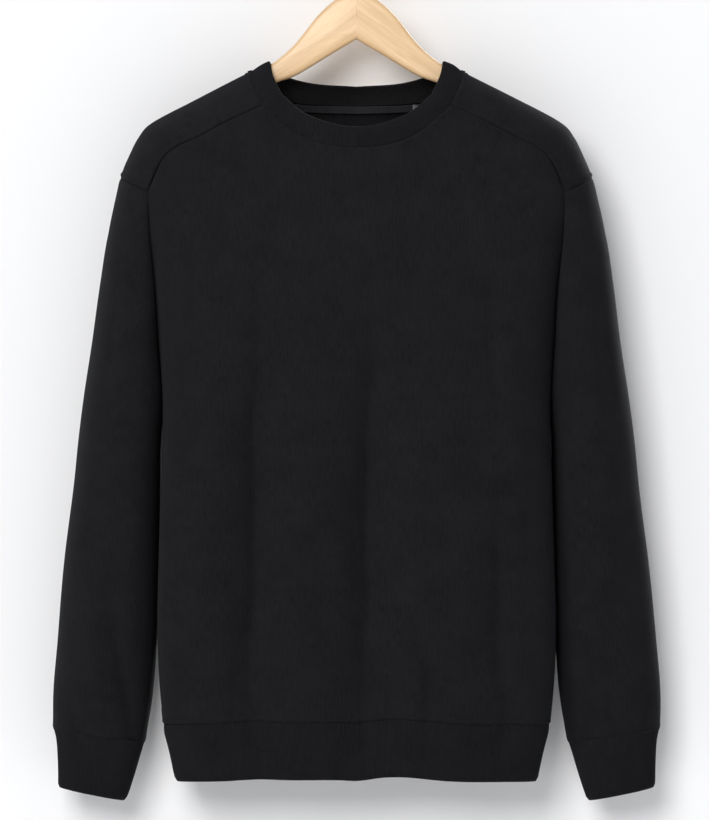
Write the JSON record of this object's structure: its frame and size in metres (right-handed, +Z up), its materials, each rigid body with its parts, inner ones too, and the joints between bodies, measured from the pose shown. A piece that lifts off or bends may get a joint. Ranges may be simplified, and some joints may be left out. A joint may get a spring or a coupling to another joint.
{
  "type": "crewneck sweatshirt on a wooden hanger",
  "caption": "Long-sleeved crewneck sweatshirt in dark fleece with rib neckband, hem and cuffs and forward shoulders, hanging on a flat wooden hanger with a steel hook.",
  "frame": {"origin": "the point inside the top of the hanger's hook where it bears on a rail", "axes": "+Z up, -Y towards the garment's front, +X to the right as seen from the front"},
  "size_m": [0.609, 0.1295, 0.8684],
  "materials": {
    "fleece": "soft loopback fleece, matt with a faint nap",
    "rib": "two-by-two rib knit, matt",
    "tape": "fine twill tape, matt",
    "label": "plain woven label, matt",
    "wood": "light beech, satin lacquer",
    "steel": "bright drawn wire"
  },
  "bodies": {
    "root": {"front": "fleece", "back": "fleece", "sleeve_left": "fleece", "sleeve_right": "fleece", "neckband": "rib", "hem_rib": "rib", "cuff_left": "rib", "cuff_right": "rib", "neck_tape": "tape", "size_label": "label", "hanger_arm_left": "wood", "hanger_arm_right": "wood", "hanger_hook": "steel"}
  },
  "joints": []
}
